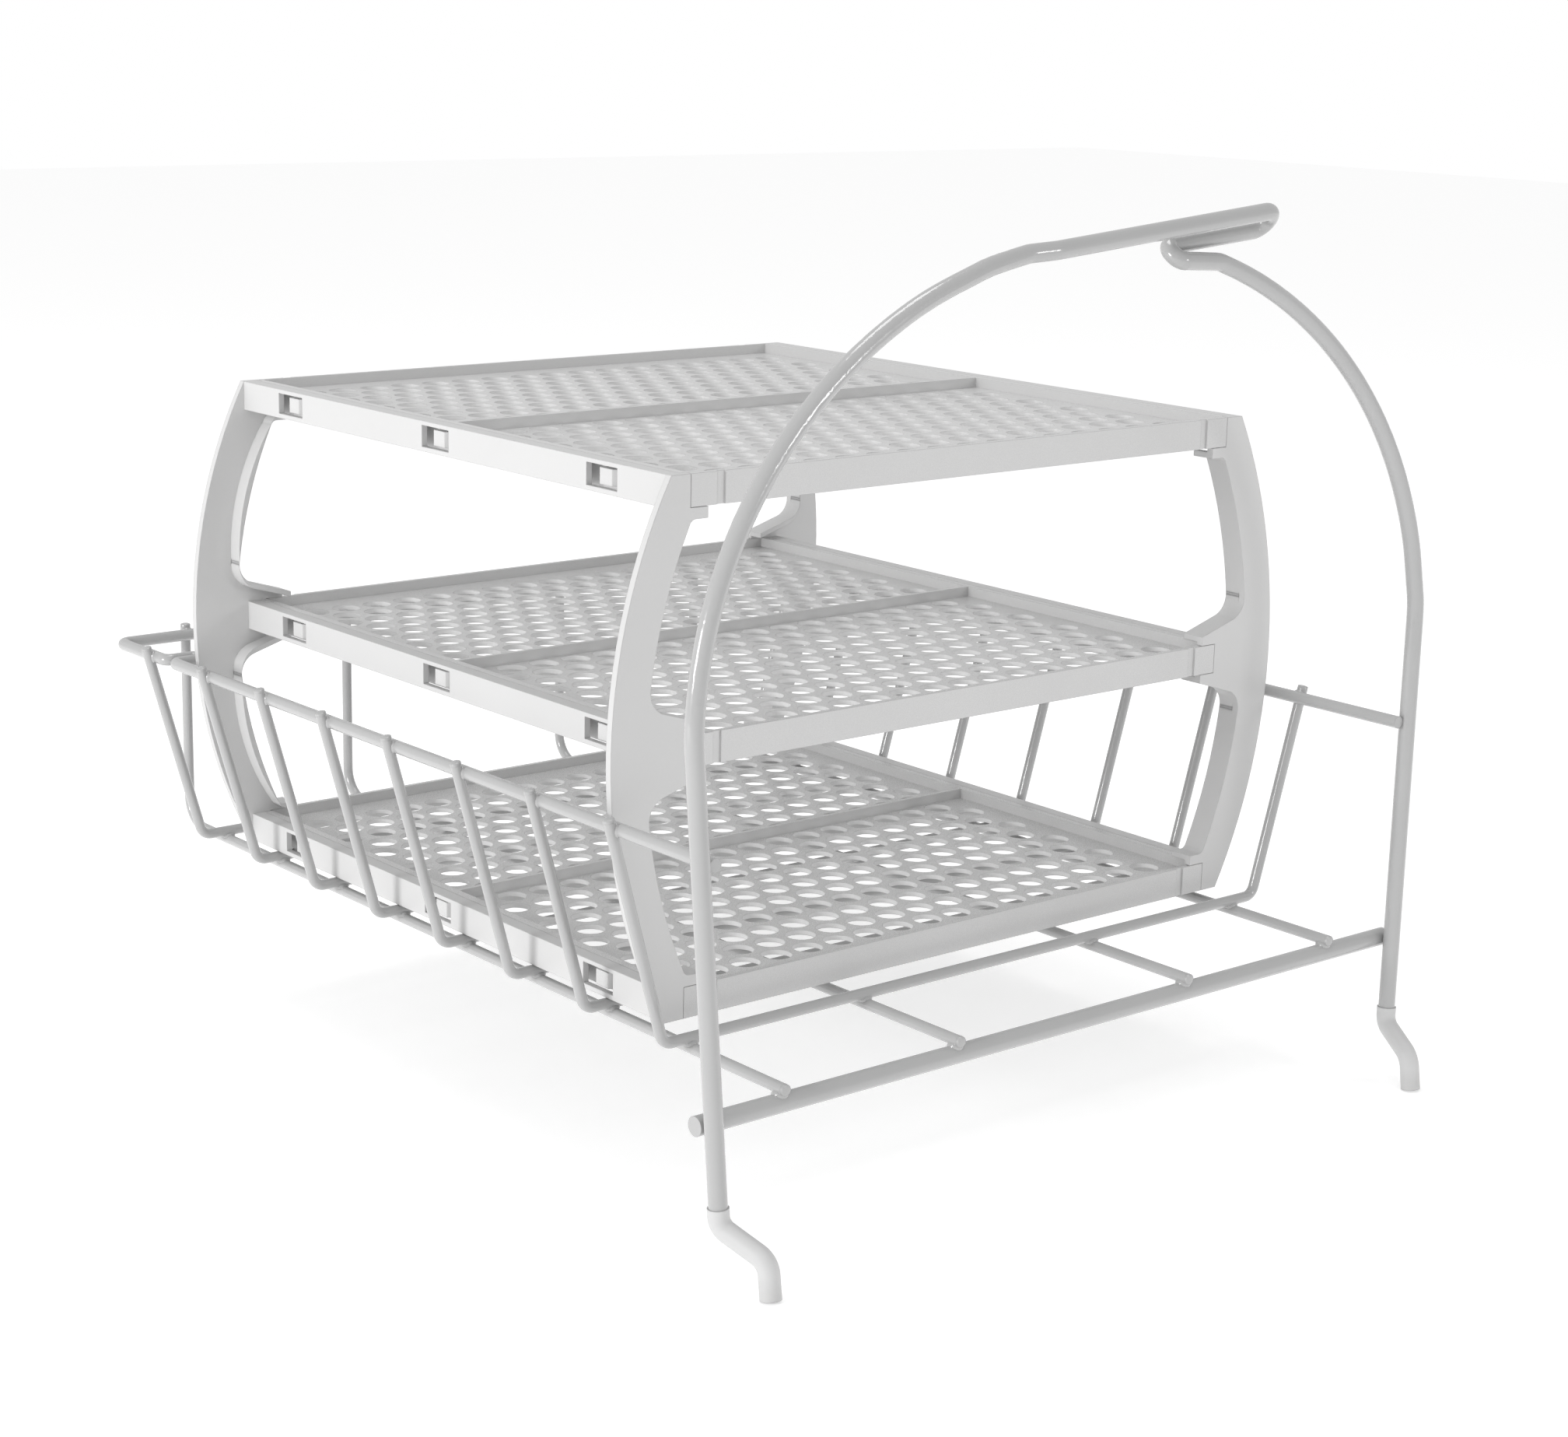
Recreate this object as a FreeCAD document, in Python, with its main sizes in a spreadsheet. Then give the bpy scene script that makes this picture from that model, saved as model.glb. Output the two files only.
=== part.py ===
import FreeCAD, Part
import math
import os

import Sketcher

# Three-tier shoe rack standing in its wire carrying basket.
# Millimetres. X runs across the basket, Y into its depth, Z up.
# The origin lies midway between the two foot tips, which point straight down.
# Depths in the table are counted from the middle of the rack, which stands rack_setback behind the feet.

Vector = FreeCAD.Vector

DIMENSIONS = [
    ("rack_setback", 246.3),
    # plastic rack
    ("rack_width", 300.0),
    ("rack_depth", 305.0),
    ("rack_top", 275.0),
    ("tier_pitch", 96.4),
    ("rim_height", 12.2),
    ("bulge_radius", 217.3),
    ("post_width", 16.0),
    ("post_plate", 3.0),
    ("flange_depth", 10.5),
    ("flange_wall", 2.4),
    ("horn_reach", 16.9),
    ("horn_thick", 4.3),
    ("horn_bend", 3.0),
    ("shelf_tip", 3.7),
    ("shelf_slope", 0.3),
    ("shelf_bend", 9.0),
    ("block_inset", 8.8),
    ("fit_gap", 0.2),
    # rails of the side frames
    ("rail_wall", 2.6),
    ("ledge_width", 5.9),
    ("ledge_thick", 2.2),
    ("window_length", 19.1),
    ("window_height", 8.6),
    ("window_spacing", 110.7),
    # trays
    ("tray_lip", 6.1),
    ("tray_wall_face", 10.0),
    ("tray_wall", 2.4),
    ("floor_drop", 4.4),
    ("floor_thick", 2.0),
    ("hole_size", 12.4),
    ("hole_pitch", 15.88),
    ("hole_row_pitch", 13.72),
    ("hole_row_start", 8.35),
    ("divider_thick", 2.0),
    ("band_depth", 0.8),
    ("hook_flat", 7.5),
    ("hook_height", 6.3),
    ("hook_inset", 1.3),
    ("hook_ramp", 4.9),
    ("hook_start", 2.9),
    # wire sizes
    ("hoop_wire", 7.0),
    ("sleeve_size", 8.0),
    ("bar_wire", 7.5),
    ("rail_wire", 5.2),
    ("rib_wire", 4.5),
    ("base_wire", 4.5),
    # hoop
    ("hoop_half_width", 189.6),
    ("arch_centre", 193.5),
    ("arch_rise", 162.9),
    ("arch_depth", -218.5),
    ("hoop_lean", 0.0403),
    ("leg_taper", 0.0511),
    ("leg_foot", 22.5),
    ("foot_reach", 19.0),
    ("foot_toe_in", 6.9),
    ("foot_drop", 8.6),
    ("foot_lean", 1.9),
    ("foot_lift", 0.55),
    # basket
    ("bar_height", 57.9),
    ("bar_depth", -216.6),
    ("bar_half_length", 185.5),
    ("rail_height", 152.7),
    ("rail_half_width", 181.3),
    ("rail_front", -220.5),
    ("rail_back", 209.6),
    ("rail_corner", 4.5),
    ("loop_depth", 163.8),
    ("loop_reach", 15.0),
    ("loop_gap", 6.9),
    ("rib_height", 67.5),
    ("rib_front", -164.7),
    ("rib_pitch", 48.86),
    ("rib_half_width", 184.3),
    ("rib_slope", 0.285),
    ("rib_stub", 3.4),
    ("rib_bend", 5.5),
    ("base_height", 63.6),
    ("base_front", -219.0),
    ("base_back", 212.9),
    ("base_bend", 13.0),
    ("base_inner", 62.0),
    ("base_outer", 147.0),
]
RIB_COUNT = 8
HOLE_ROWS = 11

doc = FreeCAD.newDocument("ShoeRack")
sizes = doc.addObject("Spreadsheet::Sheet", "sizes")
for row, (word, value) in enumerate(DIMENSIONS, start=1):
    sizes.set(f"A{row}", word)
    sizes.set(f"B{row}", str(value))
    sizes.setAlias(f"B{row}", word)
doc.recompute()


def size(word):
    """Read a driving dimension back from the spreadsheet."""
    return float(sizes.get(word))


rack_half = size("rack_width") / 2
depth_half = size("rack_depth") / 2
rack_top = size("rack_top")
tier = size("tier_pitch")
rim = size("rim_height")
rack_foot = rack_top - 2 * tier - rim
bulge_level = (rack_top + rack_foot) / 2


# ---------------------------------------------------------------- sketch helpers

def origin_plane(body, role):
    """Return one of the body's own origin planes by its role."""
    return next(item for item in body.Origin.OriginFeatures if item.Role == role)


def new_body(name, label):
    """Add a body that carries one finished piece."""
    body = doc.addObject("PartDesign::Body", name)
    body.Label = label
    body.setExpression(".Placement.Base.y", "sizes.rack_setback")
    return body


def new_sketch(body, name, role, lift="0"):
    """Add a sketch to an origin plane of its body, lifted off it by an expression."""
    sketch = body.newObject("Sketcher::SketchObject", name)
    sketch.AttachmentSupport = [(origin_plane(body, role), "")]
    sketch.MapMode = "FlatFace"
    sketch.setExpression("AttachmentOffset.Base.z", lift)
    return sketch


def closed_lines(points):
    """Join 2-D points into a closed chain of straight lines."""
    corners = [Vector(x, y, 0) for x, y in points]
    return [Part.LineSegment(a, b) for a, b in zip(corners, corners[1:] + corners[:1])]


def rectangle(x_low, y_low, x_high, y_high):
    """Four lines round an upright rectangle."""
    return closed_lines([(x_low, y_low), (x_high, y_low), (x_high, y_high), (x_low, y_high)])


def rounded_path(points, radii):
    """Lines and tangent arcs through corner points, as a wire is bent on pins."""
    pieces = []
    start = points[0]
    for before, corner, after, radius in zip(points, points[1:], points[2:], radii):
        back = (before - corner).normalize()
        ahead = (after - corner).normalize()
        half_angle = back.getAngle(ahead) / 2
        tangent = radius / math.tan(half_angle)
        centre = corner + (back + ahead).normalize() * (radius / math.sin(half_angle))
        middle = centre + (corner - centre).normalize() * radius
        pieces.append(Part.LineSegment(start, corner + back * tangent))
        pieces.append(Part.Arc(corner + back * tangent, middle, corner + ahead * tangent))
        start = corner + ahead * tangent
    pieces.append(Part.LineSegment(start, points[-1]))
    return pieces


def pad(body, sketch, name, length, both_ways=False, backward=False):
    """Pad a sketch by a length expression."""
    feature = body.newObject("PartDesign::Pad", name)
    feature.Profile = sketch
    feature.Midplane = both_ways
    feature.Reversed = backward
    feature.setExpression("Length", length)
    return feature


def pocket(body, sketch, name, length, both_ways=False, backward=False):
    """Cut a sketch into the body by a length expression."""
    feature = body.newObject("PartDesign::Pocket", name)
    feature.Profile = sketch
    feature.Midplane = both_ways
    feature.Reversed = backward
    feature.setExpression("Length", length)
    return feature


def bent_wire(name, label, role, lift, points, radii, gauge):
    """Sweep a round wire of the named gauge along a flat bent path."""
    body = new_body(name, label)
    path = new_sketch(body, f"{name}_path", role, lift)
    path.addGeometry(rounded_path([Vector(x, y, 0) for x, y in points], radii), False)
    section = body.newObject("Sketcher::SketchObject", f"{name}_section")
    section.AttachmentSupport = [(path, "Edge1")]
    section.MapMode = "NormalToEdge"
    section.MapPathParameter = 0
    section.addGeometry(Part.Circle(Vector(0, 0, 0), Vector(0, 0, 1), size(gauge) / 2), False)
    section.addConstraint(Sketcher.Constraint("Coincident", 0, 3, -1, 1))
    section.addConstraint(Sketcher.Constraint("Diameter", 0, size(gauge)))
    section.setExpression("Constraints[1]", f"sizes.{gauge}")
    doc.recompute()
    wire = body.newObject("PartDesign::AdditivePipe", f"{name}_wire")
    wire.Profile = section
    wire.Spine = (path, [])
    doc.recompute()
    return body


def seated(name, label, wire, others):
    """Sink a wire's weld seats to the shape of the wires it crosses."""
    seats = doc.addObject("Part::Compound", f"{name}_seats")
    seats.Links = others
    cut = doc.addObject("Part::Cut", name)
    cut.Label = label
    cut.Base = wire
    cut.Tool = seats
    return cut


# ---------------------------------------------------------------- wire basket

def make_top_rail():
    """Bend the top rail round three sides, with a narrow loop behind each back post."""
    half = size("rail_half_width")
    back = size("rail_back")
    loop_front = size("loop_depth") - size("loop_gap") / 2
    loop_back = size("loop_depth") + size("loop_gap") / 2
    loop_tip = half - size("loop_reach")
    side = [
        (half, size("rail_front")),
        (half, loop_front),
        (loop_tip, loop_front),
        (loop_tip, loop_back),
        (half, loop_back),
        (half, back),
    ]
    points = [(-x, y) for x, y in side] + list(reversed(side))
    loop_bends = [3.2, 3.4, 3.4, 3.2]
    radii = loop_bends + [size("rail_corner")] * 2 + loop_bends
    return bent_wire("top_rail", "Top rail", "XY_Plane", "sizes.rail_height", points, radii, "rail_wire")


def make_ribs(rail):
    """Bend the eight U-shaped ribs and seat each against the top rail."""
    slope = size("rib_slope")
    top = size("rail_height") + size("rib_stub")
    top_half = size("rib_half_width") + slope * size("rib_stub")
    foot_half = top_half - slope * (top - size("rib_height"))
    points = [
        (-top_half, top),
        (-foot_half, size("rib_height")),
        (foot_half, size("rib_height")),
        (top_half, top),
    ]
    ribs = []
    for index in range(RIB_COUNT):
        lift = f"-(sizes.rib_front + {index} * sizes.rib_pitch)"
        name = f"rib_{index + 1}"
        wire = bent_wire(
            f"{name}_blank", f"Rib {index + 1} blank", "XZ_Plane", lift, points,
            [size("rib_bend")] * 2, "rib_wire",
        )
        ribs.append(seated(name, f"Rib {index + 1}", wire, [rail]))
    return ribs


def make_low_bar():
    """Straight bar welded across the back of the two hoop legs."""
    body = new_body("low_bar", "Low front bar")
    sketch = new_sketch(body, "low_bar_section", "YZ_Plane")
    centre = Vector(size("bar_depth"), size("bar_height"), 0)
    sketch.addGeometry(Part.Circle(centre, Vector(0, 0, 1), size("bar_wire") / 2), False)
    sketch.addConstraint(Sketcher.Constraint("Diameter", 0, size("bar_wire")))
    sketch.setExpression("Constraints[0]", "sizes.bar_wire")
    doc.recompute()
    pad(body, sketch, "low_bar_length", "2 * sizes.bar_half_length", both_ways=True)
    return body


def make_base_wires(rail, ribs, bar):
    """Bend the four wires that run under the ribs and turn up at the back."""
    points = [
        (size("base_front"), size("base_height")),
        (size("base_back"), size("base_height")),
        (size("base_back"), size("rail_height") + size("rib_stub")),
    ]
    wires = []
    stations = ["-sizes.base_outer", "-sizes.base_inner", "sizes.base_inner", "sizes.base_outer"]
    for number, station in enumerate(stations, start=1):
        name = f"base_wire_{number}"
        wire = bent_wire(
            f"{name}_blank", f"Base wire {number} blank", "YZ_Plane", station, points,
            [size("base_bend")], "base_wire",
        )
        wires.append(seated(name, f"Base wire {number}", wire, [rail, bar] + ribs))
    return wires


def hoop_depth(level):
    """Depth of the leaning hoop plane at a height."""
    return size("arch_depth") + size("hoop_lean") * (level - size("arch_centre"))


def hoop_point(across, level, forward=0.0):
    """A point on the leaning hoop plane, optionally shifted in depth."""
    return Vector(across, hoop_depth(level) + forward, level)


def leg_half_width(level):
    """Half the distance between the leg centre lines below the arch."""
    return size("hoop_half_width") - size("leg_taper") * (size("arch_centre") - level)


def arch_point(angle):
    """Point of the elliptical arch at an angle from its right-hand springing."""
    across = size("hoop_half_width") * math.cos(angle)
    level = size("arch_centre") + size("arch_rise") * math.sin(angle)
    return hoop_point(across, level)


def leg_heading(side):
    """Direction of a straight leg going up, on the left (-1) or the right (1)."""
    return (hoop_point(side * leg_half_width(150), 150) - hoop_point(side * leg_half_width(50), 50)).normalize()


def arch_edge(start, end, first_heading, last_heading):
    """Smooth edge along the arch between two angles, meeting its neighbours without a kink."""
    steps = 12
    points = [arch_point(start + (end - start) * step / steps) for step in range(steps + 1)]
    curve = Part.BSplineCurve()
    curve.interpolate(Points=points, InitialTangent=first_heading, FinalTangent=last_heading)
    return curve


def foot_points(side):
    """Corner points of one foot, from high on the leg to the tip."""
    knee = size("leg_foot")
    leg = hoop_point(side * leg_half_width(knee), knee)
    drop = size("foot_drop")
    toe = leg + Vector(-side * size("foot_toe_in"), -size("foot_reach"), -drop)
    tip = Vector(toe.x, toe.y - size("foot_lean"), size("foot_lift"))
    return leg, toe, tip


def tube(pieces, gauge):
    """Sweep a round section of the named gauge along smoothly joined curves."""
    spine = Part.Wire(Part.__sortEdges__([piece.toShape() for piece in pieces]))
    start = spine.OrderedVertexes[0].Point
    edge = spine.OrderedEdges[0]
    heading = edge.tangentAt(edge.FirstParameter)
    ring = Part.Wire([Part.Circle(start, heading, size(gauge) / 2).toShape()])
    return spine.makePipeShell([ring], True, False)


def foot_edges(side, top):
    """Edges of one leg's lower end from a given height down to the tip."""
    leg, toe, tip = foot_points(side)
    start = hoop_point(side * leg_half_width(top), top)
    return rounded_path([start, leg, toe, tip], [6.0, 8.0])


def handle_corners(left_end, left_heading, right_end, right_heading):
    """Corner points of the handle, which runs right, turns back under itself and turns again."""
    return [
        left_end,
        left_end + left_heading * 5.0,
        hoop_point(-23.8, 354.4, -2.0),
        hoop_point(92.8, 365.4, -2.0),
        hoop_point(93.2, 357.8, 5.5),
        hoop_point(40.6, 353.2, 5.5),
        hoop_point(41.0, 348.2, -0.9),
        right_end - right_heading * 6.0,
        right_end,
    ]


def arch_heading(angle):
    """Direction along the arch, from left to right, at an angle from its right-hand springing."""
    return (arch_point(angle - 0.001) - arch_point(angle + 0.001)).normalize()


def make_hoop():
    """Bend the hoop: leg, arch, handle loop, arch and leg in one wire."""
    springing = size("arch_centre")
    left_kink = math.acos(-0.216)
    right_kink = math.acos(0.369)
    handle = handle_corners(
        arch_point(left_kink), arch_heading(left_kink),
        arch_point(right_kink), arch_heading(right_kink),
    )
    handle_bends = [14.0, 14.0, 5.1, 5.1, 3.75, 3.75, 14.0]
    pieces = list(reversed(foot_edges(-1, springing)))
    pieces.append(arch_edge(math.pi, left_kink, leg_heading(-1), arch_heading(left_kink)))
    pieces += rounded_path(handle, handle_bends)
    pieces.append(arch_edge(right_kink, 0.0, arch_heading(right_kink), leg_heading(1) * -1))
    pieces += foot_edges(1, springing)
    hoop = doc.addObject("Part::Feature", "hoop")
    hoop.Label = "Hoop with handle"
    hoop.Shape = tube(pieces, "hoop_wire")
    hoop.setExpression(".Placement.Base.y", "sizes.rack_setback")
    return hoop


def make_sleeve(side, name, label, hoop):
    """Soft sleeve drawn over one foot, bored to the hoop wire."""
    blank = doc.addObject("Part::Feature", f"{name}_blank")
    blank.Shape = tube(foot_edges(side, size("leg_foot") + 7.0), "sleeve_size")
    blank.setExpression(".Placement.Base.y", "sizes.rack_setback")
    sleeve = doc.addObject("Part::Cut", name)
    sleeve.Label = label
    sleeve.Base = blank
    sleeve.Tool = hoop
    return sleeve


# ---------------------------------------------------------------- plastic side frames

def bulge_edge(level, inset=0.0):
    """Half-width of the drum-shaped post edge at a height, moved in by an inset."""
    radius = size("bulge_radius")
    centre = rack_half - math.sqrt(radius ** 2 - (rack_top - bulge_level) ** 2)
    return centre + math.sqrt((radius - inset) ** 2 - (level - bulge_level) ** 2)


def arc_between(low, high, inset, side):
    """Arc of the post's drum-shaped edge between two heights."""
    middle = (low + high) / 2
    ends = [Vector(side * bulge_edge(level, inset), level, 0) for level in (low, middle, high)]
    return Part.Arc(*ends)


def corner_circle(start, slope, into, radius):
    """Centre and tangent points of the fillet between a shelf line and the post's inner edge.

    The shelf passes through start and rises by slope per millimetre outwards. The opening lies
    above it when into is 1 and below it when into is -1.
    """
    reach = size("bulge_radius") - size("post_width") - radius
    bulge_x = bulge_edge(bulge_level) - size("bulge_radius")
    along = Vector(1, slope, 0).normalize()
    normal = Vector(-slope, 1, 0).normalize() * into
    base = start + normal * radius - Vector(bulge_x, bulge_level, 0)
    middle = base.dot(along)
    travel = -middle + math.sqrt(middle ** 2 - base.dot(base) + reach ** 2)
    centre = start + normal * radius + along * travel
    outward = (centre - Vector(bulge_x, bulge_level, 0)).normalize()
    return centre, centre - normal * radius, centre + outward * radius


def fillet(centre, first, last):
    """Arc round a centre from one point to another by the shorter way."""
    radius = (first - centre).Length
    middle = centre + ((first - centre) + (last - centre)).normalize() * radius
    return Part.Arc(first, middle, last)


def opening_edge(panel, shift=0.0):
    """Curves along one panel's opening, bottom to top, moved into the plate by a shift.

    Panel 0 lies between the bottom and middle trays, panel 1 between the middle and top trays.
    """
    horn = rack_half - size("horn_reach")
    gap = size("fit_gap")
    low_seat = rack_foot + rim + panel * tier + gap
    high_seat = rack_foot + (panel + 1) * tier - gap
    thin = (size("horn_thick"), 0.0, size("horn_bend"))
    thick = (size("shelf_tip"), size("shelf_slope"), size("shelf_bend"))
    low_drop, low_slope, low_bend = thick if panel else thin
    high_drop, high_slope, high_bend = thin if panel else thick
    low_start = Vector(horn, low_seat + low_drop - shift, 0)
    high_start = Vector(horn, high_seat - high_drop + shift, 0)
    low_centre, low_foot, low_end = corner_circle(low_start, low_slope, 1, low_bend + shift)
    high_centre, high_foot, high_end = corner_circle(high_start, -high_slope, -1, high_bend + shift)
    radius = size("bulge_radius") - size("post_width") + shift
    bulge_x = bulge_edge(bulge_level) - size("bulge_radius")
    level = (low_end.y + high_end.y) / 2
    middle = Vector(bulge_x + math.sqrt(radius ** 2 - (level - bulge_level) ** 2), level, 0)
    return [
        Part.LineSegment(low_start, low_foot),
        fillet(low_centre, low_foot, low_end),
        Part.Arc(low_end, middle, high_end),
        fillet(high_centre, high_end, high_foot),
        Part.LineSegment(high_foot, high_start),
    ]


def on_side(curves, side):
    """The right-hand outline as drawn for side 1, or mirrored to the left for side -1."""
    placed = []
    for curve in curves:
        middle = (curve.FirstParameter + curve.LastParameter) / 2
        knots = [curve.value(u) for u in (curve.FirstParameter, middle, curve.LastParameter)]
        start, through, end = [Vector(side * knot.x, knot.y, 0) for knot in knots]
        if isinstance(curve, Part.LineSegment):
            placed.append(Part.LineSegment(start, end))
        else:
            placed.append(Part.Arc(start, through, end))
    return placed


def post_outline(side):
    """Closed outline of one post plate seen from the front, following its horns and seats."""
    horn = rack_half - size("horn_reach")
    seat = rack_half - size("block_inset")
    gap = size("fit_gap")
    bottom_seat = rack_foot + rim + gap
    middle_low = rack_foot + tier - gap
    middle_high = rack_foot + tier + rim + gap
    top_seat = rack_top - rim - gap
    lower = opening_edge(0)
    upper = opening_edge(1)
    outline = []

    def run(*knots):
        """Append straight lines through points."""
        for first, second in zip(knots, knots[1:]):
            outline.append(Part.LineSegment(first, second))

    run(
        Vector(rack_half, rack_foot, 0), Vector(seat, rack_foot, 0), Vector(seat, bottom_seat, 0),
        Vector(horn, bottom_seat, 0), lower[0].StartPoint,
    )
    outline += lower
    run(
        lower[-1].EndPoint, Vector(horn, middle_low, 0), Vector(seat, middle_low, 0),
        Vector(seat, middle_high, 0), Vector(horn, middle_high, 0), upper[0].StartPoint,
    )
    outline += upper
    run(
        upper[-1].EndPoint, Vector(horn, top_seat, 0), Vector(seat, top_seat, 0),
        Vector(seat, rack_top, 0), Vector(rack_half, rack_top, 0),
    )
    outline.append(arc_between(rack_foot, rack_top, 0.0, 1))
    return on_side(outline, side)


def flange_outline(panel, side):
    """Outline of the stiffening flange that follows one panel's opening."""
    edge = opening_edge(panel)
    root = opening_edge(panel, size("flange_wall"))
    ends = [
        Part.LineSegment(edge[0].StartPoint, root[0].StartPoint),
        Part.LineSegment(edge[-1].EndPoint, root[-1].EndPoint),
    ]
    return on_side(edge + root + ends, side)


def make_side_frame(side, name, label):
    """Mould one side frame: two posts joined by three windowed rails."""
    body = new_body(name, label)
    plate = new_sketch(body, f"{name}_plate", "XZ_Plane", "sizes.rack_depth / 2")
    plate.addGeometry(post_outline(side), False)
    doc.recompute()
    pad(body, plate, f"{name}_post", "sizes.post_plate", backward=True)
    doc.recompute()
    flange_lift = "sizes.rack_depth / 2"
    for panel in range(2):
        sketch = new_sketch(body, f"{name}_flange_{panel}", "XZ_Plane", flange_lift)
        sketch.addGeometry(flange_outline(panel, side), False)
        doc.recompute()
        pad(body, sketch, f"{name}_flange_pad_{panel}", "sizes.flange_depth", backward=True)
        doc.recompute()
    mirror = body.newObject("PartDesign::Mirrored", f"{name}_back_post")
    mirror.Originals = [item for item in body.Group if item.TypeId == "PartDesign::Pad"]
    mirror.MirrorPlane = (origin_plane(body, "XZ_Plane"), [""])
    body.Tip = mirror
    doc.recompute()
    face = rack_half
    wall = size("rail_wall")
    ledge = size("ledge_width")
    for level_number in range(3):
        top = rack_top - level_number * tier
        rail = new_sketch(body, f"{name}_rail_{level_number}", "XZ_Plane", "0")
        section = closed_lines([
            (side * face, top), (side * (face - ledge), top),
            (side * (face - ledge), top - size("ledge_thick")),
            (side * (face - wall), top - size("ledge_thick")),
            (side * (face - wall), top - rim), (side * face, top - rim),
        ])
        rail.addGeometry(section, False)
        doc.recompute()
        pad(body, rail, f"{name}_rail_pad_{level_number}", "sizes.rack_depth", both_ways=True)
        doc.recompute()
    windows = new_sketch(body, f"{name}_windows", "YZ_Plane", "0")
    half_window = size("window_length") / 2
    for level_number in range(3):
        window_top = rack_top - level_number * tier - 1.7
        for station in (-1, 0, 1):
            middle = station * size("window_spacing")
            windows.addGeometry(rectangle(
                middle - half_window, window_top - size("window_height"),
                middle + half_window, window_top,
            ), False)
    doc.recompute()
    cut = pocket(body, windows, f"{name}_window_cut", "sizes.rack_width / 2 + 1", backward=side > 0)
    doc.recompute()
    body.Tip = cut
    return body


# ---------------------------------------------------------------- trays

def make_tray(number, name, label):
    """Mould one perforated tray with its rim, divider, end blocks and snap hooks."""
    top = rack_top - number * tier
    body = new_body(name, label)
    lip = rack_half - size("tray_lip")
    wall_inner = rack_half - size("tray_wall_face")
    wall_outer = wall_inner + size("tray_wall")
    seat = rack_half - size("block_inset") - size("fit_gap")
    front = depth_half
    plate_back = depth_half - size("post_plate") - size("fit_gap")

    rim_sketch = new_sketch(body, f"{name}_rim", "XY_Plane", f"sizes.rack_top - {number} * sizes.tier_pitch")
    rim_sketch.addGeometry(rectangle(-wall_outer, -plate_back, wall_outer, plate_back), False)
    doc.recompute()
    pad(body, rim_sketch, f"{name}_rim_pad", "sizes.rim_height", backward=True)
    doc.recompute()
    ends = new_sketch(body, f"{name}_ends", "XY_Plane", f"sizes.rack_top - {number} * sizes.tier_pitch")
    ends.addGeometry(rectangle(-seat, -front, seat, front), False)
    doc.recompute()
    pad(body, ends, f"{name}_end_pad", "sizes.rim_height", backward=True)
    doc.recompute()
    # the well above the floor and the hollow below it
    well = new_sketch(body, f"{name}_well", "XY_Plane", f"sizes.rack_top - {number} * sizes.tier_pitch")
    inner_front = front - size("tray_wall")
    well.addGeometry(rectangle(-wall_inner, -inner_front, wall_inner, inner_front), False)
    doc.recompute()
    pocket(body, well, f"{name}_well_cut", "sizes.floor_drop")
    doc.recompute()
    hollow_lift = f"sizes.rack_top - {number} * sizes.tier_pitch - sizes.rim_height"
    hollow = new_sketch(body, f"{name}_hollow", "XY_Plane", hollow_lift)
    hollow.addGeometry(rectangle(-wall_inner, -inner_front, wall_inner, inner_front), False)
    doc.recompute()
    pocket(
        body, hollow, f"{name}_hollow_cut",
        "sizes.rim_height - sizes.floor_drop - sizes.floor_thick", backward=True,
    )
    doc.recompute()
    lip_sketch = new_sketch(body, f"{name}_lip", "XY_Plane", f"sizes.rack_top - {number} * sizes.tier_pitch")
    for side in (-1, 1):
        edges = sorted((side * (wall_outer - 0.5), side * lip))
        lip_sketch.addGeometry(rectangle(edges[0], -plate_back, edges[1], plate_back), False)
    doc.recompute()
    pad(body, lip_sketch, f"{name}_lip_pad", "sizes.ledge_thick", backward=True)
    doc.recompute()
    hooks = new_sketch(body, f"{name}_hooks", "XY_Plane", f"sizes.rack_top - {number} * sizes.tier_pitch - 2.9")
    hook_face = rack_half - size("hook_inset")
    hook_back = size("hook_start")
    hook_flat = hook_back - size("hook_flat")
    for side in (-1, 1):
        for station in (-1, 0, 1):
            middle = station * size("window_spacing")
            hooks.addGeometry(closed_lines([
                (side * (wall_outer - 1), middle + hook_back),
                (side * hook_face, middle + hook_back),
                (side * hook_face, middle + hook_flat),
                (side * wall_outer, middle + hook_flat - size("hook_ramp")),
                (side * (wall_outer - 1), middle + hook_flat - size("hook_ramp")),
            ]), False)
    doc.recompute()
    pad(body, hooks, f"{name}_hook_pad", "sizes.hook_height", backward=True)
    doc.recompute()
    divider = new_sketch(body, f"{name}_divider", "XY_Plane", hollow_lift)
    divider_half = size("divider_thick") / 2
    divider.addGeometry(rectangle(-wall_inner - 1, -divider_half, wall_inner + 1, divider_half), False)
    doc.recompute()
    pad(body, divider, f"{name}_divider_pad", "sizes.rim_height")
    doc.recompute()
    add_holes(body, name, number)
    add_bands(body, name, number, seat)
    return body


def add_holes(body, name, number):
    """Perforate the floor with rows of round holes staggered about the centre."""
    lift = f"sizes.rack_top - {number} * sizes.tier_pitch - sizes.floor_drop"
    sketch = new_sketch(body, f"{name}_holes", "XY_Plane", lift)
    radius = size("hole_size") / 2
    pitch = size("hole_pitch")
    edge_x = rack_half - size("tray_wall_face") - radius - 0.6
    edge_y = depth_half - size("tray_wall") - radius - 0.6
    circles = []
    for row in range(HOLE_ROWS):
        depth = size("hole_row_start") + row * size("hole_row_pitch")
        if depth > edge_y:
            continue
        across = 0.0 if row % 2 else pitch / 2
        while across <= edge_x:
            for x in {across, -across}:
                for y in (depth, -depth):
                    circles.append(Part.Circle(Vector(x, y, 0), Vector(0, 0, 1), radius))
            across += pitch
    sketch.addGeometry(circles, False)
    doc.recompute()
    pocket(body, sketch, f"{name}_hole_cut", "sizes.floor_thick")
    doc.recompute()


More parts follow.
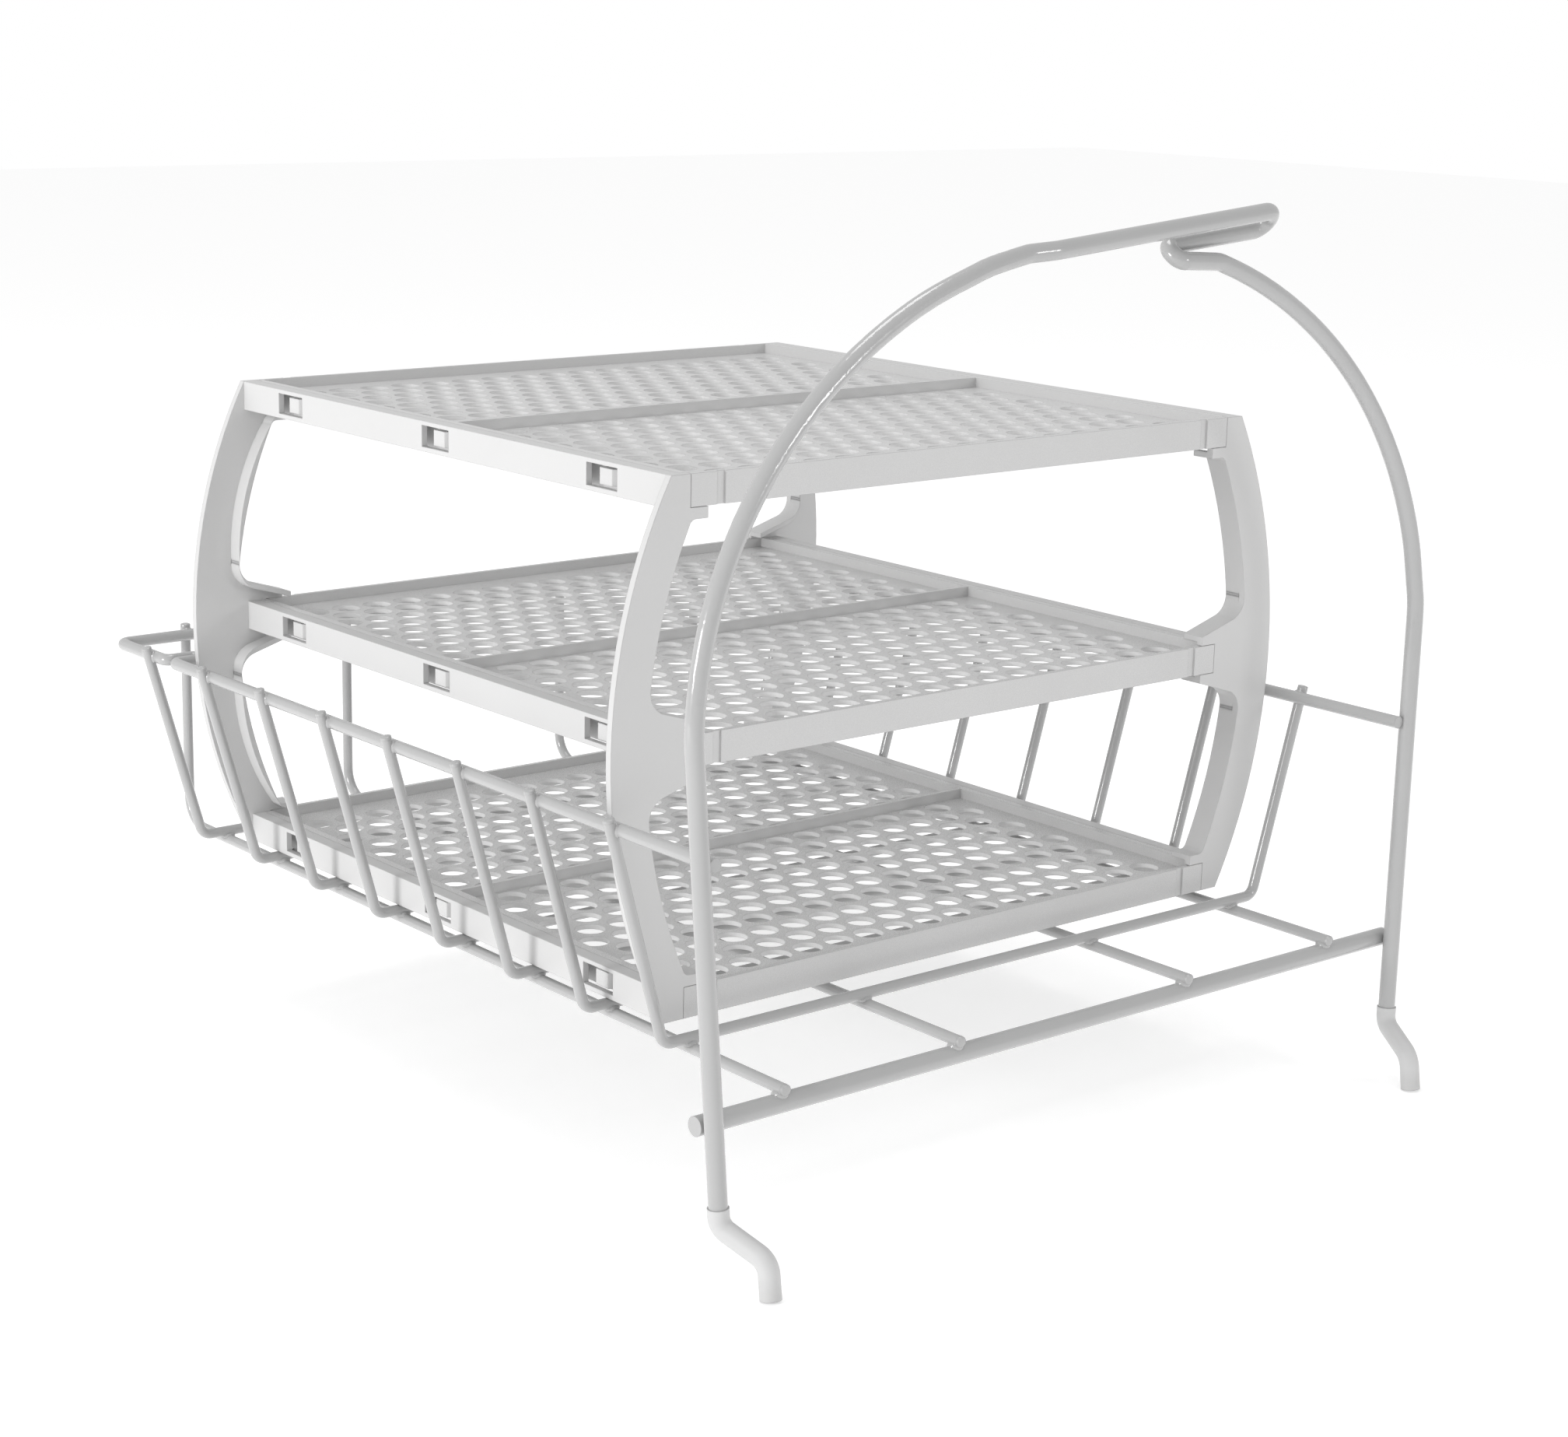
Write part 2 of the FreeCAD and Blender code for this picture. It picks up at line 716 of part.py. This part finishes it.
def add_bands(body, name, number, seat):
    """Cut the shallow upright bands beside the end blocks of the front and back rims."""
    lift = f"sizes.rack_top - {number} * sizes.tier_pitch"
    sketch = new_sketch(body, f"{name}_bands", "XY_Plane", lift)
    band_start = seat - 11.9
    band_width = 3.8
    depth = size("band_depth")
    for side in (-1, 1):
        edges = sorted((side * band_start, side * (band_start - band_width)))
        for end in (-1, 1):
            reach = sorted((end * depth_half, end * (depth_half - depth)))
            sketch.addGeometry(rectangle(edges[0], reach[0], edges[1], reach[1]), False)
    doc.recompute()
    pocket(body, sketch, f"{name}_band_cut", "sizes.rim_height")
    doc.recompute()


# ---------------------------------------------------------------- assembly

rail = make_top_rail()
ribs = make_ribs(rail)
bar = make_low_bar()
base_wires = make_base_wires(rail, ribs, bar)
hoop = make_hoop()
sleeves = [
    make_sleeve(-1, "foot_sleeve_left", "Left foot sleeve", hoop),
    make_sleeve(1, "foot_sleeve_right", "Right foot sleeve", hoop),
]
frames = [
    make_side_frame(-1, "side_frame_left", "Left side frame"),
    make_side_frame(1, "side_frame_right", "Right side frame"),
]
trays = [
    make_tray(0, "tray_top", "Top tray"),
    make_tray(1, "tray_middle", "Middle tray"),
    make_tray(2, "tray_bottom", "Bottom tray"),
]
doc.recompute()

finished = [rail, bar, hoop] + ribs + base_wires + sleeves + frames + trays
for item in doc.Objects:
    if "Invalid" in item.State or "Error" in item.State:
        raise RuntimeError(f"{item.Name} did not recompute: {item.State}")
for item in finished:
    if item.Shape.isNull() or not item.Shape.isValid():
        raise RuntimeError(f"{item.Name} has no valid shape")

os.makedirs("parts", exist_ok=True)
for item in finished:
    item.Shape.exportStep(f"parts/{item.Name}.step")
    box = item.Shape.BoundBox
    print(f"{item.Name}: {box.XLength:.1f} x {box.YLength:.1f} x {box.ZLength:.1f}, {item.Shape.Volume:.0f}")
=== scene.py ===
import logging
import math
from dataclasses import dataclass, field
from enum import Enum
from typing import Any, Iterable

import bpy
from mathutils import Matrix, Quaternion, Vector


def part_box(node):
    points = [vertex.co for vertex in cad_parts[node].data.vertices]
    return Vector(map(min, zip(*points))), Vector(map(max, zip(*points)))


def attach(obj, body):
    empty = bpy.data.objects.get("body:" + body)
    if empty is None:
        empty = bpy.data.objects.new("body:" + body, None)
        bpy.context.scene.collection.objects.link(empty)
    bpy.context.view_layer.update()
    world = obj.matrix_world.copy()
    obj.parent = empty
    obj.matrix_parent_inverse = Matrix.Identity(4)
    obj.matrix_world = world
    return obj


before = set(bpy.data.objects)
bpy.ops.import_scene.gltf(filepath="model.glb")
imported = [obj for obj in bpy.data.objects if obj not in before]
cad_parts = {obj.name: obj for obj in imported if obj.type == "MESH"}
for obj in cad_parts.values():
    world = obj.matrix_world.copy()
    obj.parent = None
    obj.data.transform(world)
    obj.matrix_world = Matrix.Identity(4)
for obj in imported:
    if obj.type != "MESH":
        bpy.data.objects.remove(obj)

LOG = logging.getLogger("shoe_rack")
MM = 0.001
SMOOTH_ANGLE = math.radians(40)
MIX_FACTOR, MIX_LOW, MIX_HIGH, MIX_RESULT = 0, 6, 7, 2


# ---------------------------------------------------------------- shader expressions

@dataclass
class Value:
    """A node socket that can be used in ordinary arithmetic."""

    tree: "ShaderTree"
    socket: bpy.types.NodeSocket

    def _math(self, operation: str, first: Any, second: Any) -> "Value":
        """Add one Math node.

        Args:
            operation: The Math node's operation.
            first: The first operand, a Value or a number.
            second: The second operand, a Value or a number.

        Returns:
            The node's result.
        """
        return self.tree.node("ShaderNodeMath", {"operation": operation}, {0: first, 1: second})

    def __add__(self, other: Any) -> "Value":
        """Sum of two values."""
        return self._math("ADD", self, other)

    __radd__ = __add__

    def __mul__(self, other: Any) -> "Value":
        """Product of two values."""
        return self._math("MULTIPLY", self, other)

    __rmul__ = __mul__

    def __sub__(self, other: Any) -> "Value":
        """Difference of two values."""
        return self._math("SUBTRACT", self, other)

    def __rsub__(self, other: Any) -> "Value":
        """Reflected difference, so that 1 - mask works."""
        return self._math("SUBTRACT", other, self)

    def clamped(self) -> "Value":
        """The value held between 0 and 1."""
        return self.tree.node("ShaderNodeClamp", {}, {"Value": self})


@dataclass
class ShaderTree:
    """Builds one material's node tree."""

    name: str
    material: bpy.types.Material = field(init=False)

    def __post_init__(self) -> None:
        """Start from an empty tree with a Principled shader."""
        self.material = bpy.data.materials.new(self.name)
        self.material.use_nodes = True
        tree = self.material.node_tree
        tree.nodes.clear()
        self.output = tree.nodes.new("ShaderNodeOutputMaterial")
        self.shader = tree.nodes.new("ShaderNodeBsdfPrincipled")
        tree.links.new(self.shader.outputs["BSDF"], self.output.inputs["Surface"])

    def node(
        self, kind: str, settings: dict[str, Any], inputs: dict[Any, Any], output: Any = 0
    ) -> Value:
        """Add a node, set it up and link it.

        Args:
            kind: The node's type.
            settings: Properties of the node, set before its sockets.
            inputs: A number, colour or Value for each named or numbered socket.
            output: The output to return.

        Returns:
            The chosen output as a Value.
        """
        made = self.material.node_tree.nodes.new(kind)
        for key, setting in settings.items():
            setattr(made, key, setting)
        for key, value in inputs.items():
            self.feed(made.inputs[key], value)
        return Value(self, made.outputs[output])

    def feed(self, socket: bpy.types.NodeSocket, value: Any) -> None:
        """Link a Value to a socket, or set a plain number or colour on it."""
        if isinstance(value, Value):
            self.material.node_tree.links.new(value.socket, socket)
        else:
            socket.default_value = value

    def noise(self, size_mm: float, detail: float = 2.0, roughness: float = 0.5) -> Value:
        """Even noise whose features are about size_mm wide, on object coordinates.

        Args:
            size_mm: Width of one feature in millimetres.
            detail: Octaves of finer noise.
            roughness: Strength of the finer octaves.

        Returns:
            The noise, about 0 to 1.
        """
        place = self.node("ShaderNodeTexCoord", {}, {}, "Object")
        return self.node(
            "ShaderNodeTexNoise", {"noise_dimensions": "3D"},
            {"Vector": place, "Scale": 1.0 / (size_mm * MM), "Detail": detail, "Roughness": roughness},
        )

    def mix(self, factor: Value, low: tuple, high: tuple) -> Value:
        """Blend two colours by a value."""
        made = self.material.node_tree.nodes.new("ShaderNodeMix")
        made.data_type = "RGBA"
        self.feed(made.inputs[MIX_FACTOR], factor)
        self.feed(made.inputs[MIX_LOW], low)
        self.feed(made.inputs[MIX_HIGH], high)
        return Value(self, made.outputs[MIX_RESULT])

    def rounded_edges(self, radius_mm: float) -> Value:
        """Normal that softens sharp edges by a small radius."""
        return self.node("ShaderNodeBevel", {"samples": 6}, {"Radius": radius_mm * MM}, "Normal")

    def bump(self, height: Value, strength: float, distance_mm: float, normal: Value) -> Value:
        """Raise a normal by a height pattern.

        Args:
            height: The pattern, 0 to 1.
            strength: How much of it shows.
            distance_mm: Height of the pattern in millimetres.
            normal: The normal that it starts from.

        Returns:
            The bumped normal.
        """
        return self.node(
            "ShaderNodeBump", {},
            {"Height": height, "Strength": strength, "Distance": distance_mm * MM, "Normal": normal},
            "Normal",
        )


def grey(level: float, warmth: float = 0.0) -> tuple[float, float, float, float]:
    """A near-neutral colour of a given linear brightness, slightly warm or cool."""
    return (level * (1 + warmth), level, level * (1 - warmth), 1.0)


# ---------------------------------------------------------------- finishes

class Sheen(Enum):
    """How polished a moulded surface is."""

    SATIN = 0.42
    POLISHED = 0.27


@dataclass(frozen=True)
class CoatedWireFinish:
    """Dipped glossy coating on steel wire, faintly rippled."""

    name: str = "coated_wire"
    slot: str = "coated_wire"
    level: float = 0.42
    roughness: float = 0.17

    def material(self) -> bpy.types.Material:
        """Build the coating."""
        tree = ShaderTree(self.name)
        drift = tree.noise(38.0, 2.0)
        ripple = tree.noise(2.6, 3.0, 0.6)
        speck = tree.noise(0.45, 1.0)
        tone = (drift * 0.7 + speck * 0.3).clamped()
        tree.feed(
            tree.shader.inputs["Base Color"],
            tree.mix(tone, grey(self.level * 0.93), grey(self.level * 1.05)),
        )
        tree.feed(tree.shader.inputs["Roughness"], (ripple * 0.12 + (self.roughness - 0.06)).clamped())
        normal = tree.rounded_edges(0.5)
        normal = tree.bump(ripple, 0.22, 0.12, normal)
        tree.feed(tree.shader.inputs["Normal"], tree.bump(speck, 0.10, 0.03, normal))
        tree.shader.inputs["IOR"].default_value = 1.5
        tree.shader.inputs["Coat Weight"].default_value = 0.55
        tree.shader.inputs["Coat Roughness"].default_value = 0.09
        return tree.material


@dataclass(frozen=True)
class MouldedFinish:
    """Injection-moulded plastic: fine spark-eroded grain, soft flow marks, eased edges."""

    name: str
    sheen: Sheen = Sheen.SATIN
    slot: str = "white_plastic"
    level: float = 0.60
    grain_mm: float = 0.55
    edge_mm: float = 0.55

    def material(self) -> bpy.types.Material:
        """Build the plastic."""
        tree = ShaderTree(self.name)
        flow = tree.noise(55.0, 3.0, 0.55)
        grain = tree.noise(self.grain_mm, 2.0, 0.6)
        sparkle = tree.noise(self.grain_mm * 0.4, 1.0)
        tone = (flow * 0.65 + grain * 0.35).clamped()
        tree.feed(
            tree.shader.inputs["Base Color"],
            tree.mix(tone, grey(self.level * 0.94, 0.004), grey(self.level * 1.04, 0.0)),
        )
        rough = self.sheen.value
        tree.feed(tree.shader.inputs["Roughness"], (sparkle * 0.14 + flow * 0.06 + (rough - 0.1)).clamped())
        normal = tree.rounded_edges(self.edge_mm)
        normal = tree.bump(grain, 0.16, 0.05, normal)
        tree.feed(tree.shader.inputs["Normal"], tree.bump(flow, 0.08, 0.4, normal))
        tree.shader.inputs["IOR"].default_value = 1.49
        return tree.material


@dataclass(frozen=True)
class SleeveFinish:
    """Soft moulded sleeve: finely grained matt skin, rubbed darker at its tip."""

    name: str = "soft_sleeve"
    slot: str = "soft_sleeve"
    level: float = 0.58
    tip_height: float = 0.010

    def material(self) -> bpy.types.Material:
        """Build the sleeve's skin, darker where its tip has been rubbed."""
        tree = ShaderTree(self.name)
        place = tree.node("ShaderNodeTexCoord", {}, {}, "Object")
        height = tree.node("ShaderNodeSeparateXYZ", {}, {0: place}, "Z")
        rubbed = (1.0 - height * (1.0 / self.tip_height)).clamped()
        skin = tree.noise(0.8, 3.0, 0.6)
        patch = tree.noise(6.0, 2.0)
        wear = (rubbed * patch * 1.3).clamped()
        tree.feed(
            tree.shader.inputs["Base Color"],
            tree.mix(wear, grey(self.level), grey(self.level * 0.8, 0.01)),
        )
        tree.feed(tree.shader.inputs["Roughness"], (skin * 0.2 + wear * 0.15 + 0.4).clamped())
        normal = tree.rounded_edges(0.7)
        tree.feed(tree.shader.inputs["Normal"], tree.bump(skin, 0.2, 0.06, normal))
        return tree.material


@dataclass(frozen=True)
class PaperFinish:
    """Seamless pale studio paper."""

    name: str = "studio_paper"
    level: float = 0.94
    glow: float = 0.30

    def material(self) -> bpy.types.Material:
        """Build the paper."""
        tree = ShaderTree(self.name)
        fibre = tree.noise(3.0, 3.0)
        tree.feed(
            tree.shader.inputs["Base Color"],
            tree.mix(fibre, grey(self.level), grey(self.level * 1.02)),
        )
        tree.shader.inputs["Roughness"].default_value = 0.9
        tree.shader.inputs["Specular IOR Level"].default_value = 0.1
        tree.shader.inputs["Emission Color"].default_value = grey(1.0)
        tree.shader.inputs["Emission Strength"].default_value = self.glow
        return tree.material


# ---------------------------------------------------------------- modelling helpers

def deselect_all() -> None:
    """Leave object mode with nothing selected."""
    if bpy.context.object and bpy.context.object.mode != "OBJECT":
        bpy.ops.object.mode_set(mode="OBJECT")
    bpy.ops.object.select_all(action="DESELECT")


def dress(obj: bpy.types.Object, material: bpy.types.Material) -> None:
    """Give every face of an object one material."""
    obj.data.materials.clear()
    obj.data.materials.append(material)
    for polygon in obj.data.polygons:
        polygon.material_index = 0


def placed_copy(template: bpy.types.Object, place: Vector, turn: Quaternion) -> bpy.types.Object:
    """Copy a modelled piece with its own mesh to a place and direction.

    Args:
        template: The piece that was modelled at the origin.
        place: Where the copy's origin goes.
        turn: How the copy is turned.

    Returns:
        The copy, not yet applied.
    """
    copy = template.copy()
    copy.data = template.data.copy()
    copy.rotation_mode = "QUATERNION"
    copy.rotation_quaternion = turn
    copy.location = place
    bpy.context.scene.collection.objects.link(copy)
    return copy


def joined(copies: list[bpy.types.Object], name: str) -> bpy.types.Object:
    """Apply the copies' places and join them into one finished piece.

    Args:
        copies: The placed copies.
        name: Name of the finished piece.

    Returns:
        One object at the world origin.
    """
    deselect_all()
    for copy in copies:
        copy.select_set(True)
    bpy.context.view_layer.objects.active = copies[0]
    bpy.ops.object.transform_apply(location=True, rotation=True, scale=True)
    bpy.ops.object.join()
    piece = bpy.context.view_layer.objects.active
    piece.name = name
    piece.data.name = name
    bpy.ops.object.shade_smooth_by_angle(angle=SMOOTH_ANGLE)
    deselect_all()
    return piece


# ---------------------------------------------------------------- basket

@dataclass
class WireNet:
    """Places and sizes of the basket's wires, read from the frame."""

    ribs: list[str]
    base_wires: list[str]
    rail_gauge: float = 5.2 * MM
    rib_gauge: float = 4.5 * MM
    bar_gauge: float = 7.5 * MM

    def middle(self, node: str) -> Vector:
        """Centre of a node's box."""
        low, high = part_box(node)
        return (low + high) / 2

    def rail_side(self) -> float:
        """Distance from the centre plane to the rail's side runs."""
        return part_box("top_rail")[1].x - self.rail_gauge / 2

    def rail_back(self) -> float:
        """Depth of the rail's back run."""
        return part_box("top_rail")[1].y - self.rail_gauge / 2

    def rail_height(self) -> float:
        """Height of the top rail."""
        return self.middle("top_rail").z

    def rib_floor(self) -> float:
        """Height of the ribs' bottom runs."""
        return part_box(self.ribs[0])[0].z + self.rib_gauge / 2

    def base_height(self) -> float:
        """Height of the base wires' long runs."""
        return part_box(self.base_wires[0])[0].z + self.rib_gauge / 2


@dataclass
class WeldBeads:
    """Coated weld beads where the wires cross."""

    net: WireNet
    radius: float = 1.0 * MM
    rail_set: float = 0.32
    bar_sink: float = 0.3 * MM
    side_bead: tuple[float, float, float] = (1.9, 3.5, 3.1)
    floor_bead: tuple[float, float, float] = (3.1, 3.1, 1.9)
    bar_bead: tuple[float, float, float] = (3.2, 3.4, 2.2)

    def bead(self, proportions: tuple[float, float, float]) -> bpy.types.Object:
        """Model one flattened bead.

        Args:
            proportions: Half-sizes along X, Y and Z in millimetres.

        Returns:
            The bead at the origin.
        """
        deselect_all()
        bpy.ops.mesh.primitive_uv_sphere_add(segments=14, ring_count=9, radius=self.radius)
        piece = bpy.context.object
        bpy.ops.object.mode_set(mode="EDIT")
        bpy.ops.mesh.select_all(action="SELECT")
        bpy.ops.transform.resize(value=proportions)
        bpy.ops.object.mode_set(mode="OBJECT")
        return piece

    def side_places(self) -> Iterable[Vector]:
        """Where the ribs are welded to the outside of the rail."""
        across = self.net.rail_side() + self.net.rail_gauge * self.rail_set
        for rib in self.net.ribs:
            for side in (-1, 1):
                yield Vector((side * across, self.net.middle(rib).y, self.net.rail_height()))

    def floor_places(self) -> Iterable[Vector]:
        """Where the ribs lie on the base wires."""
        level = (self.net.rib_floor() + self.net.base_height()) / 2
        for rib in self.net.ribs:
            for wire in self.net.base_wires:
                yield Vector((self.net.middle(wire).x, self.net.middle(rib).y, level))

    def bar_places(self) -> Iterable[Vector]:
        """Where the base wires lie on the low bar."""
        bar = self.net.middle("low_bar")
        level = bar.z + self.net.bar_gauge / 2 - self.bar_sink
        for wire in self.net.base_wires:
            yield Vector((self.net.middle(wire).x, bar.y, level))

    def back_places(self) -> Iterable[Vector]:
        """Where the base wires' uprights are welded to the back of the rail."""
        depth = self.net.rail_back() + self.net.rail_gauge * self.rail_set
        for wire in self.net.base_wires:
            yield Vector((self.net.middle(wire).x, depth, self.net.rail_height()))

    def build(self, material: bpy.types.Material) -> list[bpy.types.Object]:
        """Model every bead and put them on the basket.

        Args:
            material: The wire coating.

        Returns:
            The finished pieces.
        """
        level = Quaternion()
        across_back = Quaternion((0, 0, 1), math.pi / 2)
        groups = [
            ("rail_weld_beads", self.side_bead, self.side_places(), level),
            ("floor_weld_beads", self.floor_bead, self.floor_places(), level),
            ("bar_weld_beads", self.bar_bead, self.bar_places(), level),
            ("back_weld_beads", self.side_bead, self.back_places(), across_back),
        ]
        pieces = []
        for name, proportions, places, turn in groups:
            template = self.bead(proportions)
            copies = [placed_copy(template, place, turn) for place in places]
            bpy.data.objects.remove(template)
            piece = joined(copies, name)
            dress(piece, material)
            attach(piece, "basket")
            pieces.append(piece)
        return pieces


class TipFacing(Enum):
    """Which way a cut wire end points."""

    UP = "up"
    FRONT = "front"


@dataclass
class WireTips:
    """Nearly flat coating over the cut ends of the thin wires."""

    net: WireNet
    collar: float = 1.4 * MM
    flatness: float = 0.25
    proud: float = -0.02 * MM
    rib_lean: float = math.atan(0.285)

    def tip(self, gauge: float) -> bpy.types.Object:
        """Model one low dome with a short collar, pointing up.

        Args:
            gauge: The wire's diameter.

        Returns:
            The tip, with the top of its collar at the origin.
        """
        deselect_all()
        bpy.ops.mesh.primitive_uv_sphere_add(segments=18, ring_count=10, radius=gauge / 2 + self.proud)
        piece = bpy.context.object
        bpy.ops.object.mode_set(mode="EDIT")
        bpy.ops.mesh.select_all(action="SELECT")
        bpy.ops.mesh.bisect(plane_co=(0, 0, 0), plane_no=(0, 0, 1), clear_inner=True)
        bpy.ops.mesh.select_all(action="SELECT")
        bpy.ops.transform.resize(value=(1, 1, self.flatness))
        bpy.ops.mesh.select_all(action="DESELECT")
        bpy.ops.mesh.select_mode(type="EDGE")
        bpy.ops.mesh.select_non_manifold()
        bpy.ops.mesh.extrude_region_move(TRANSFORM_OT_translate={"value": (0, 0, -self.collar)})
        bpy.ops.mesh.edge_face_add()
        bpy.ops.mesh.select_all(action="SELECT")
        bpy.ops.mesh.normals_make_consistent(inside=False)
        bpy.ops.object.mode_set(mode="OBJECT")
        return piece

    def turn(self, facing: TipFacing, lean: float = 0.0) -> Quaternion:
        """How a tip is turned from pointing straight up."""
        if facing is TipFacing.FRONT:
            return Quaternion((1, 0, 0), math.pi / 2)
        return Quaternion((0, 1, 0), lean)

    def places(self) -> Iterable[tuple[Vector, Quaternion]]:
        """Every thin wire end with the way that it points."""
        half = self.net.rib_gauge / 2
        for rib in self.net.ribs:
            low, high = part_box(rib)
            for side in (-1, 1):
                across = high.x - half * math.cos(self.rib_lean)
                level = high.z - half * math.sin(self.rib_lean)
                place = Vector((side * across, (low.y + high.y) / 2, level))
                yield place, self.turn(TipFacing.UP, side * self.rib_lean)
        for wire in self.net.base_wires:
            low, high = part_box(wire)
            across = (low.x + high.x) / 2
            yield Vector((across, high.y - half, high.z)), self.turn(TipFacing.UP)
            yield Vector((across, low.y, low.z + half)), self.turn(TipFacing.FRONT)

    def build(self, material: bpy.types.Material) -> bpy.types.Object:
        """Model the tips and put them on the basket.

        Args:
            material: The wire coating.

        Returns:
            The finished piece.
        """
        template = self.tip(self.net.rib_gauge)
        copies = [placed_copy(template, place, turn) for place, turn in self.places()]
        bpy.data.objects.remove(template)
        piece = joined(copies, "wire_tips")
        dress(piece, material)
        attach(piece, "basket")
        return piece


@dataclass
class Basket:
    """The wire basket with its hoop: coated wires and soft foot sleeves."""

    wires: tuple[str, ...] = ("hoop", "low_bar", "top_rail")
    sleeves: tuple[str, ...] = ("foot_sleeve_left", "foot_sleeve_right")

    def build(self) -> None:
        """Dress the basket's nodes and add its beads and tips."""
        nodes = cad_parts
        ribs = sorted(name for name in nodes if name.startswith("rib_"))
        base = sorted(name for name in nodes if name.startswith("base_wire_"))
        coating = CoatedWireFinish().material()
        for name in [*self.wires, *ribs, *base]:
            dress(nodes[name], coating)
            LOG.info("dressed %s", name)
        rubber = SleeveFinish().material()
        for name in self.sleeves:
            dress(nodes[name], rubber)
            LOG.info("dressed %s", name)
        net = WireNet(ribs, base)
        for piece in WeldBeads(net).build(coating):
            LOG.info("built %s", piece.name)
        LOG.info("built %s", WireTips(net).build(coating).name)


# ---------------------------------------------------------------- rack

@dataclass
class Rack:
    """The three-tier plastic rack: bowed side frames and perforated trays."""

    frames: tuple[str, ...] = ("side_frame_left", "side_frame_right")
    trays: tuple[str, ...] = ("tray_top", "tray_middle", "tray_bottom")

    def build(self) -> None:
        """Dress the side frames and the trays."""
        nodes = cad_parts
        frame_plastic = MouldedFinish("frame_plastic").material()
        tray_plastic = MouldedFinish("tray_plastic", Sheen.POLISHED, edge_mm=0.45).material()
        for name in self.frames:
            dress(nodes[name], frame_plastic)
            LOG.info("dressed %s", name)
        for name in self.trays:
            dress(nodes[name], tray_plastic)
            LOG.info("dressed %s", name)


# ---------------------------------------------------------------- studio

@dataclass
class Studio:
    """Pale floor, soft lights and the camera."""

    eye: Vector = field(default_factory=lambda: Vector((-0.78935, -0.73606, 0.44099)))
    heading: float = math.radians(39.9)
    tilt: float = math.radians(13.62)
    roll: float = math.radians(1.285)
    lens: float = 68.4
    world_level: float = 0.70
    backdrop_level: float = 1.0
    floor_size: float = 12.0
    aim: tuple[float, float, float] = (0.0, 0.2, 0.15)

    def floor(self) -> None:
        """Lay the paper floor."""
        deselect_all()
        bpy.ops.mesh.primitive_plane_add(size=self.floor_size, location=(0, 0, 0))
        paper = bpy.context.object
        paper.name = "studio_floor"
        dress(paper, PaperFinish().material())

    def light(self, name: str, place: tuple, size: float, power: float) -> None:
        """Hang one soft square light.

        Args:
            name: Name of the light.
            place: Where it hangs.
            size: Length of its side.
            power: Its power in watts.
        """
        data = bpy.data.lights.new(name, "AREA")
        data.shape = "SQUARE"
        data.size = size
        data.energy = power
        lamp = bpy.data.objects.new(name, data)
        lamp.location = place
        lamp.rotation_mode = "QUATERNION"
        lamp.rotation_quaternion = (Vector(self.aim) - Vector(place)).to_track_quat("-Z", "Y")
        bpy.context.scene.collection.objects.link(lamp)

    def lights(self) -> None:
        """Light the set: an even dome, a left key, a top light and a weak front fill."""
        world = bpy.data.worlds.new("studio_dome")
        world.use_nodes = True
        background = world.node_tree.nodes["Background"]
        background.inputs["Color"].default_value = (1.0, 1.0, 1.0, 1.0)
        background.inputs["Strength"].default_value = self.world_level
        backdrop = world.node_tree.nodes.new("ShaderNodeBackground")
        backdrop.inputs["Color"].default_value = (1.0, 1.0, 1.0, 1.0)
        backdrop.inputs["Strength"].default_value = self.backdrop_level
        seen = world.node_tree.nodes.new("ShaderNodeLightPath")
        choice = world.node_tree.nodes.new("ShaderNodeMixShader")
        surface = world.node_tree.nodes["World Output"].inputs["Surface"]
        world.node_tree.links.new(seen.outputs["Is Camera Ray"], choice.inputs[0])
        world.node_tree.links.new(background.outputs[0], choice.inputs[1])
        world.node_tree.links.new(backdrop.outputs[0], choice.inputs[2])
        world.node_tree.links.new(choice.outputs[0], surface)
        bpy.context.scene.world = world
        self.light("left_key", (-2.2, 0.3, 0.6), 0.5, 22.0)
        self.light("top_soft", (0.1, 0.5, 2.0), 0.7, 7.0)
        self.light("front_fill", (0.9, -2.1, 0.7), 0.35, 6.0)

    def camera(self) -> None:
        """Set the camera up at its standing point."""
        data = bpy.data.cameras.new("studio_camera")
        data.sensor_width = 36.0
        data.lens = self.lens
        data.clip_end = 50.0
        camera = bpy.data.objects.new("studio_camera", data)
        level = math.cos(self.tilt)
        ahead = Vector((math.sin(self.heading) * level, math.cos(self.heading) * level, -math.sin(self.tilt)))
        camera.rotation_mode = "QUATERNION"
        camera.rotation_quaternion = Quaternion(ahead, -self.roll) @ ahead.to_track_quat("-Z", "Y")
        camera.location = self.eye
        bpy.context.scene.collection.objects.link(camera)
        bpy.context.scene.camera = camera

    def build(self) -> None:
        """Set the whole studio up."""
        self.floor()
        self.lights()
        self.camera()
        bpy.context.scene.view_settings.view_transform = "Standard"


def main() -> None:
    """Build the looks around the frame."""
    logging.basicConfig(level=logging.INFO, format="%(name)s: %(message)s")
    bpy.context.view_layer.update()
    deselect_all()
    Basket().build()
    Rack().build()
    Studio().build()
    LOG.info("studio ready")


if __name__ == "__main__":
    main()
